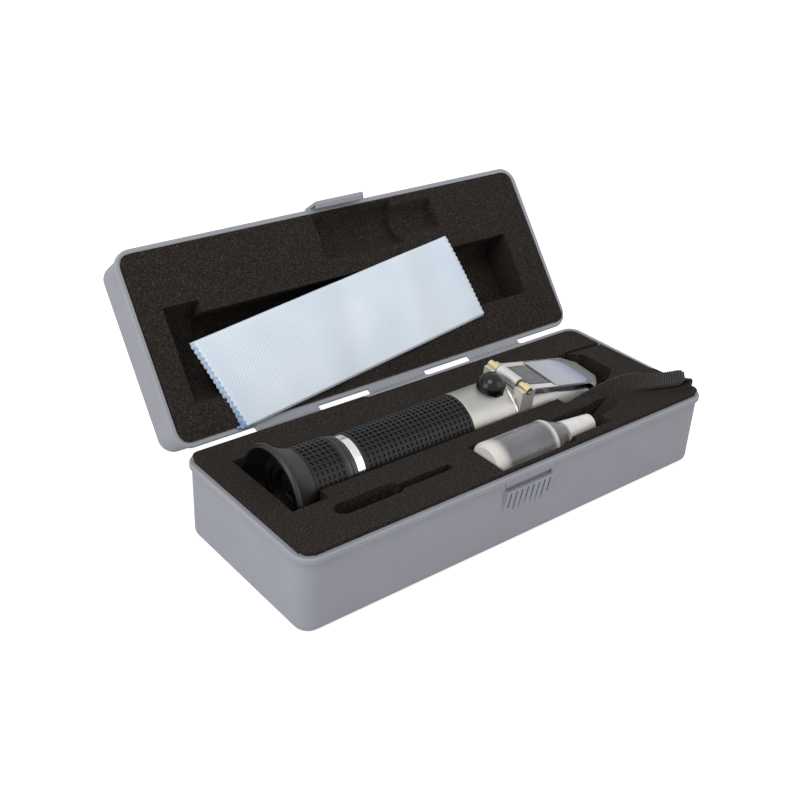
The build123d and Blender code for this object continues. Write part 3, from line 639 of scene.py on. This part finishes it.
class Finish:
    """A node material with short calls for the nodes that every finish here uses."""

    def __init__(self, name, **sockets):
        self.material = bpy.data.materials.new(name)
        self.material.use_nodes = True
        self.tree = self.material.node_tree
        self.shader = self.tree.nodes["Principled BSDF"]
        self.place = self.tree.nodes.new("ShaderNodeTexCoord").outputs["Object"]
        self.set(**sockets)

    def set(self, **sockets):
        for name, value in sockets.items():
            self.shader.inputs[name.replace("_", " ")].default_value = value

    def node(self, kind, inputs=(), **settings):
        made = self.tree.nodes.new(kind)
        for name, value in settings.items():
            setattr(made, name, value)
        for key, value in dict(inputs).items():
            if isinstance(value, bpy.types.NodeSocket):
                self.tree.links.new(value, made.inputs[key])
            else:
                made.inputs[key].default_value = value
        return made

    def link(self, socket, target):
        self.tree.links.new(socket, self.shader.inputs[target])

    def split(self):
        return self.node("ShaderNodeSeparateXYZ", {0: self.place}).outputs

    def share(self, value, start, stop):
        """0 to 1 between two places in millimetres."""
        limits = {"Value": value, "From Min": start * MM, "From Max": stop * MM}
        return self.node("ShaderNodeMapRange", limits).outputs["Result"]

    def stretched(self, x, y, z):
        return self.node("ShaderNodeMapping", {"Vector": self.place, "Scale": (x, y, z)}).outputs[0]

    def noise(self, scale, detail=2.0, roughness=0.5, vector=None):
        return self.node(
            "ShaderNodeTexNoise",
            {
                "Vector": vector or self.place, "Scale": scale,
                "Detail": detail, "Roughness": roughness,
            },
        ).outputs["Fac"]

    def ramp(self, value, stops):
        made = self.node("ShaderNodeValToRGB", {"Fac": value})
        elements = made.color_ramp.elements
        while len(elements) < len(stops):
            elements.new(0.5)
        for element, (position, colour) in zip(elements, stops):
            element.position = position
            element.color = colour
        return made.outputs["Color"]

    def math(self, operation, a, b=0.0, clamp=False):
        made = self.node("ShaderNodeMath", {0: a, 1: b}, operation=operation, use_clamp=clamp)
        return made.outputs[0]

    def mix(self, factor, a, b):
        return self.node("ShaderNodeMix", {0: factor, 6: a, 7: b}, data_type="RGBA").outputs[2]

    def bump(self, height, strength, distance, normal=None):
        inputs = {"Height": height, "Strength": strength, "Distance": distance}
        if normal is not None:
            inputs["Normal"] = normal
        return self.node("ShaderNodeBump", inputs).outputs["Normal"]

    def edges(self, radius):
        """Rounded normal, and how much it differs from the flat one: 1 on an edge, 0 elsewhere."""
        soft = self.node("ShaderNodeBevel", {"Radius": radius}, samples=6).outputs["Normal"]
        flat = self.node("ShaderNodeNewGeometry").outputs["Normal"]
        dot = self.node("ShaderNodeVectorMath", {0: soft, 1: flat}, operation="DOT_PRODUCT")
        differs = self.math("SUBTRACT", 1.0, dot.outputs["Value"])
        return soft, self.math("MULTIPLY", differs, 4.0, clamp=True)


def grey(value):
    return (value, value, value, 1)


def case_finish():
    f = Finish("case_plastic", Roughness=0.5, IOR=1.46)
    soft, edge = f.edges(0.45 * MM)
    mottled = f.ramp(f.noise(60, 3), [(0.3, linear(151, 152, 160)), (0.7, linear(156, 157, 165))])
    grain = f.noise(2600, 2)
    speckled = f.mix(f.math("MULTIPLY", grain, 0.22), mottled, linear(132, 137, 146))
    # Painted highlight: the edges are painted lighter, most of the way to near white, as bright
    # lines along the rims and beads
    f.link(f.mix(f.math("MULTIPLY", edge, 0.7), speckled, linear(212, 215, 220)), "Base Color")
    f.link(f.math("ADD", f.math("MULTIPLY", grain, 0.18), 0.38), "Roughness")
    f.link(f.bump(grain, 0.35, 0.12 * MM, soft), "Normal")
    return f.material


def foam_finish():
    f = Finish("foam", Roughness=0.95, Specular_IOR_Level=0.15)
    pores = f.node("ShaderNodeTexVoronoi", {"Vector": f.place, "Scale": 1500}).outputs["Distance"]
    grain = f.noise(1700, 4, 0.7)
    clumps = f.noise(160, 3)
    base = f.ramp(grain, [
        (0.36, linear(14, 12, 11)), (0.5, linear(39, 34, 31)), (0.64, linear(74, 67, 60)),
    ])
    tinted = f.mix(f.math("MULTIPLY", clumps, 0.35), base, linear(40, 36, 33))
    fleck = f.node("ShaderNodeTexVoronoi", {"Vector": f.place, "Scale": 620}).outputs["Distance"]
    dots = f.math("LESS_THAN", fleck, 0.085)
    f.link(f.mix(f.math("MULTIPLY", dots, 0.5), tinted, linear(150, 142, 132)), "Base Color")
    height = f.math("ADD", f.math("MULTIPLY", grain, 1.2), f.math("MULTIPLY", pores, 0.8))
    f.link(f.bump(height, 0.8, 0.35 * MM), "Normal")
    return f.material


def cloth_finish():
    f = Finish(
        "cloth", Roughness=0.85, Sheen_Weight=0.25, Sheen_Roughness=0.4, Specular_IOR_Level=0.25,
    )
    ribs = f.node(
        "ShaderNodeTexWave",
        {
            "Vector": f.place, "Scale": 250.0, "Distortion": 1.2,
            "Detail": 1.0, "Detail Scale": 2.0,
        },
        wave_type="BANDS", bands_direction="X",
    ).outputs["Fac"]
    soft = f.ramp(f.noise(26, 2), [(0.35, linear(216, 228, 240)), (0.65, linear(232, 240, 248))])
    ribbed = f.mix(f.math("MULTIPLY", ribs, 0.2), soft, linear(190, 210, 232))
    # Painted shade: where the mesh's under mark is set, on the lower layers at the left end, the
    # colour turns a darker, shaded blue
    under = f.node("ShaderNodeAttribute", attribute_name="under").outputs["Fac"]
    shaded_blue = f.ramp(f.noise(700, 3), [(0.4, linear(70, 122, 172)), (0.6, linear(150, 178, 204))])
    f.link(f.mix(under, ribbed, shaded_blue), "Base Color")
    fuzz = f.noise(3500, 2)
    height = f.math("ADD", ribs, f.math("MULTIPLY", fuzz, 0.5))
    f.link(f.bump(height, 0.25, 0.12 * MM), "Normal")
    return f.material


BLOTCH_DARKER = 0.08


def metal_finish(name, colour, roughness, line_strength, metallic=1.0):
    f = Finish(name, Metallic=metallic)
    lines = f.noise(1.0, 2, vector=f.stretched(5200, 180, 180))
    blotch = f.noise(130, 2)
    darker = tuple(c * (1 - BLOTCH_DARKER) for c in colour[:3]) + (1,)
    f.link(f.ramp(blotch, [(0.3, darker), (0.7, colour)]), "Base Color")
    f.link(f.math("ADD", f.math("MULTIPLY", lines, 0.16), roughness - 0.08), "Roughness")
    soft, edge = f.edges(0.15 * MM)
    f.link(f.bump(lines, line_strength, 0.02 * MM, soft), "Normal")
    return f.material


def black_finish(name, colour, roughness, grain_scale, bump, coat=0.0, shine=0.5):
    f = Finish(name, Coat_Weight=coat, Coat_Roughness=0.1, Specular_IOR_Level=shine)
    grain = f.noise(grain_scale, 3, 0.6)
    smear = f.noise(90, 2)
    darker = tuple(c * 0.6 for c in colour[:3]) + (1,)
    f.link(f.ramp(smear, [(0.3, darker), (0.7, colour)]), "Base Color")
    f.link(f.math("ADD", f.math("MULTIPLY", grain, 0.2), roughness - 0.1), "Roughness")
    f.link(f.bump(grain, bump, 0.06 * MM), "Normal")
    return f.material


def webbing_finish():
    f = Finish(
        "webbing", Roughness=0.8, Sheen_Weight=0.2, Sheen_Roughness=0.5, Specular_IOR_Level=0.3,
    )
    threads = f.noise(2200, 3, 0.6)
    f.link(f.ramp(threads, [(0.35, linear(12, 11, 10)), (0.7, linear(50, 45, 40))]), "Base Color")
    f.link(f.bump(threads, 0.6, 0.15 * MM), "Normal")
    return f.material


def clear_finish(name, colour, roughness, transmission, ior=1.49):
    f = Finish(name, Base_Color=colour, Transmission_Weight=transmission, IOR=ior)
    haze = f.noise(380, 3)
    f.link(f.math("ADD", f.math("MULTIPLY", haze, 0.08), max(0.0, roughness - 0.04)), "Roughness")
    f.link(f.bump(haze, 0.05, 0.02 * MM), "Normal")
    return f.material


def bottle_finish():
    f = Finish("bottle_plastic", IOR=1.35, Specular_IOR_Level=0.6)
    streaks = f.noise(1.0, 3, vector=f.stretched(60, 500, 500))
    place = f.split()
    # Painted light by height around the bottle: a painted warm highlight band at about 31 mm high,
    # greyer above and below it, and lighter again towards the top
    painted_light_by_height = f.ramp(f.share(place["Z"], 27, 39), [
        (0.0, linear(150, 152, 156)), (0.2, linear(176, 172, 160)), (0.34, linear(222, 214, 198)),
        (0.46, linear(168, 168, 168)), (0.75, linear(150, 152, 160)), (1.0, linear(186, 187, 194)),
    ])
    body = f.mix(f.math("MULTIPLY", streaks, 0.3), painted_light_by_height, linear(214, 212, 210))
    along = f.share(place["X"], -11, 30)
    clear = f.ramp(along, [
        (0.0, grey(0.15)), (0.07, grey(0.3)), (0.16, grey(0.72)), (0.4, grey(0.66)),
        (0.7, grey(0.74)), (0.745, grey(0.2)), (0.775, grey(0.72)), (0.97, grey(0.7)),
        (1.0, grey(0.3)),
    ])
    f.link(clear, "Transmission Weight")
    milky = f.ramp(along, [
        (0.0, grey(1.0)), (0.1, grey(0.9)), (0.17, grey(0.0)), (0.7, grey(0.0)),
        (0.745, grey(1.0)), (0.775, grey(0.0)), (1.0, grey(0.2)),
    ])
    f.link(f.mix(milky, body, linear(240, 235, 231)), "Base Color")
    f.link(f.math("ADD", f.math("MULTIPLY", streaks, 0.1), 0.2), "Roughness")
    f.link(f.bump(streaks, 0.1, 0.1 * MM), "Normal")
    return f.material


def cap_finish():
    f = Finish(
        "cap_plastic", Subsurface_Weight=0.15, Subsurface_Radius=(0.002, 0.002, 0.002),
        Roughness=0.4,
    )
    cloud = f.noise(300, 3)
    tone = f.ramp(cloud, [(0.3, linear(222, 219, 219)), (0.7, linear(238, 235, 232))])
    f.link(tone, "Base Color")
    f.link(f.bump(f.noise(1500, 2), 0.1, 0.05 * MM), "Normal")
    return f.material


def window_finish():
    f = Finish("window", Roughness=0.2, Coat_Weight=0.15, Coat_Roughness=0.05)
    blotch = f.noise(320, 3)
    f.link(f.ramp(blotch, [(0.42, linear(14, 17, 22)), (0.65, linear(66, 75, 84))]), "Base Color")
    return f.material


def frosted_finish():
    f = Finish("frosted", Roughness=0.35, Coat_Weight=0.3, Coat_Roughness=0.1)
    tone = f.ramp(f.share(f.split()["X"], 46, 68), [
        (0.0, linear(160, 162, 170)), (0.55, linear(164, 167, 184)), (0.85, linear(126, 138, 174)),
        (1.0, linear(70, 86, 128)),
    ])
    cloud = f.noise(700, 3)
    f.link(f.mix(f.math("MULTIPLY", cloud, 0.25), tone, linear(205, 207, 218)), "Base Color")
    f.link(f.bump(cloud, 0.1, 0.03 * MM), "Normal")
    return f.material


# The front housing takes a paler, less metallic copy of the aluminium: a painted reflection,
# standing in for the bright white that its near saddle reflects
NODE_FINISHES = {"front_housing": "head_with_painted_reflection", "screw_cap": "glossy_cap"}
FINISHES = {
    "case_plastic": case_finish(),
    "foam": foam_finish(),
    "cloth": cloth_finish(),
    "satin_aluminium": metal_finish("satin_aluminium", linear(178, 176, 171), 0.44, 0.25),
    "bright_aluminium": metal_finish("bright_aluminium", linear(228, 226, 224), 0.24, 0.12),
    "black_rubber": black_finish("black_rubber", linear(20, 19, 19), 0.42, 1600, 0.25),
    "black_plastic": black_finish("black_plastic", linear(22, 22, 23), 0.36, 700, 0.08, coat=0.15),
    "optical_glass": clear_finish("optical_glass", linear(120, 124, 134), 0.04, 0.95, 1.52),
    "clear_plastic": clear_finish("clear_plastic", linear(150, 153, 160), 0.04, 1.0),
    "steel": metal_finish("steel", linear(190, 190, 192), 0.3, 0.2),
    "brass": metal_finish("brass", linear(226, 212, 160), 0.3, 0.15),
    "bottle_plastic": bottle_finish(),
    "cap_plastic": cap_finish(),
    "webbing": webbing_finish(),
    "pale_metal": metal_finish("pale_metal", linear(214, 211, 209), 0.5, 0.2, metallic=0.8),
    # Painted reflection: paler, less metallic aluminium for the front housing
    "head_with_painted_reflection": metal_finish("head_with_painted_reflection", linear(206, 203, 198), 0.4, 0.15, metallic=0.35),
    "glossy_cap": black_finish("glossy_cap", linear(9, 9, 10), 0.2, 500, 0.12, coat=0.1, shine=0.3),
    "cell_rubber": black_finish("cell_rubber", linear(17, 16, 16), 0.42, 1600, 0.25, shine=0.32),
    "window": window_finish(),
    "frosted": frosted_finish(),
}


PIECE_FINISHES = {
    "webbing": [strap],
    "cell_rubber": [grip, focus_cells],
    "black_plastic": [focus_core, joint_line],
    "cloth": [cloth],
    "foam": [base_foam_piece, lid_foam_piece],
    "case_plastic": [*hinge_beads, base_fillets, lid_fillets],
    "pale_metal": [barrel_cover, frame_near, frame_far],
    "window": [window],
    "frosted": [frosted],
}

for part in frame["record"]["subparts"]:
    look = NODE_FINISHES.get(part["node"], part["material_slot"])
    for holder in frame["nodes"][part["node"]].material_slots:
        holder.material = FINISHES[look]
for look, pieces in PIECE_FINISHES.items():
    for piece in pieces:
        piece.data.materials.clear()
        piece.data.materials.append(FINISHES[look])


# Floor, background and light: both look white to the camera and light the part less than that
FLOOR_HALF = 3.0
FLOOR_GAP = 0.0002
FLOOR_GREY = 0.8
FLOOR_GLOW = 0.72
WORLD_LIGHT = 0.5
WORLD_SEEN = 1.0


def make_floor():
    level = cad_box[0][2] - FLOOR_GAP
    signs = ((-1, -1), (1, -1), (1, 1), (-1, 1))
    corners = [(x * FLOOR_HALF, y * FLOOR_HALF, level) for x, y in signs]
    mesh = bpy.data.meshes.new("floor")
    mesh.from_pydata(corners, [], [(0, 1, 2, 3)])
    floor = bpy.data.objects.new("floor", mesh)
    scene.collection.objects.link(floor)
    material = bpy.data.materials.new("floor")
    material.use_nodes = True
    tree = material.node_tree
    tree.nodes.clear()
    path = tree.nodes.new("ShaderNodeLightPath")
    diffuse = tree.nodes.new("ShaderNodeBsdfDiffuse")
    diffuse.inputs["Color"].default_value = grey(FLOOR_GREY)
    glow = tree.nodes.new("ShaderNodeEmission")
    glow.inputs["Color"].default_value = grey(1.0)
    share = tree.nodes.new("ShaderNodeMath")
    share.operation = "MULTIPLY"
    share.inputs[1].default_value = FLOOR_GLOW
    shown = tree.nodes.new("ShaderNodeMath")
    shown.operation = "MAXIMUM"
    both = tree.nodes.new("ShaderNodeAddShader")
    output = tree.nodes.new("ShaderNodeOutputMaterial")
    links = tree.links
    links.new(path.outputs["Is Camera Ray"], shown.inputs[0])
    links.new(path.outputs["Is Transmission Ray"], shown.inputs[1])
    links.new(shown.outputs[0], share.inputs[0])
    links.new(share.outputs[0], glow.inputs["Strength"])
    links.new(diffuse.outputs[0], both.inputs[0])
    links.new(glow.outputs[0], both.inputs[1])
    links.new(both.outputs[0], output.inputs["Surface"])
    mesh.materials.append(material)


def make_world():
    world = bpy.data.worlds.new("world")
    scene.world = world
    world.use_nodes = True
    tree = world.node_tree
    background = tree.nodes["Background"]
    background.inputs["Color"].default_value = grey(1.0)
    path = tree.nodes.new("ShaderNodeLightPath")
    seen = tree.nodes.new("ShaderNodeMath")
    seen.operation = "MAXIMUM"
    shown = tree.nodes.new("ShaderNodeMath")
    shown.operation = "MAXIMUM"
    strength = tree.nodes.new("ShaderNodeMapRange")
    strength.inputs["To Min"].default_value = WORLD_LIGHT
    strength.inputs["To Max"].default_value = WORLD_SEEN
    tree.links.new(path.outputs["Is Camera Ray"], seen.inputs[0])
    tree.links.new(path.outputs["Is Glossy Ray"], seen.inputs[1])
    tree.links.new(seen.outputs[0], shown.inputs[0])
    tree.links.new(path.outputs["Is Transmission Ray"], shown.inputs[1])
    tree.links.new(shown.outputs[0], strength.inputs["Value"])
    tree.links.new(strength.outputs[0], background.inputs["Strength"])


def softbox(name, place, size, power):
    lamp = bpy.data.lights.new(name, "AREA")
    lamp.shape = "SQUARE"
    lamp.size = size
    lamp.energy = power
    box = bpy.data.objects.new(name, lamp)
    box.location = place
    aim = Vector((0, 0, 0.03)) - Vector(place)
    box.rotation_mode = "QUATERNION"
    box.rotation_quaternion = aim.to_track_quat("-Z", "Y")
    scene.collection.objects.link(box)


make_floor()
make_world()
softbox("key", (-0.45, -0.2, 0.95), 0.5, 3.6)
softbox("left", (-1.0, 0.0, 0.4), 0.6, 3.1)
softbox("fill", (0.5, -0.7, 0.45), 0.6, 1.4)

scene.view_settings.view_transform = "Standard"

bpy.context.view_layer.update()
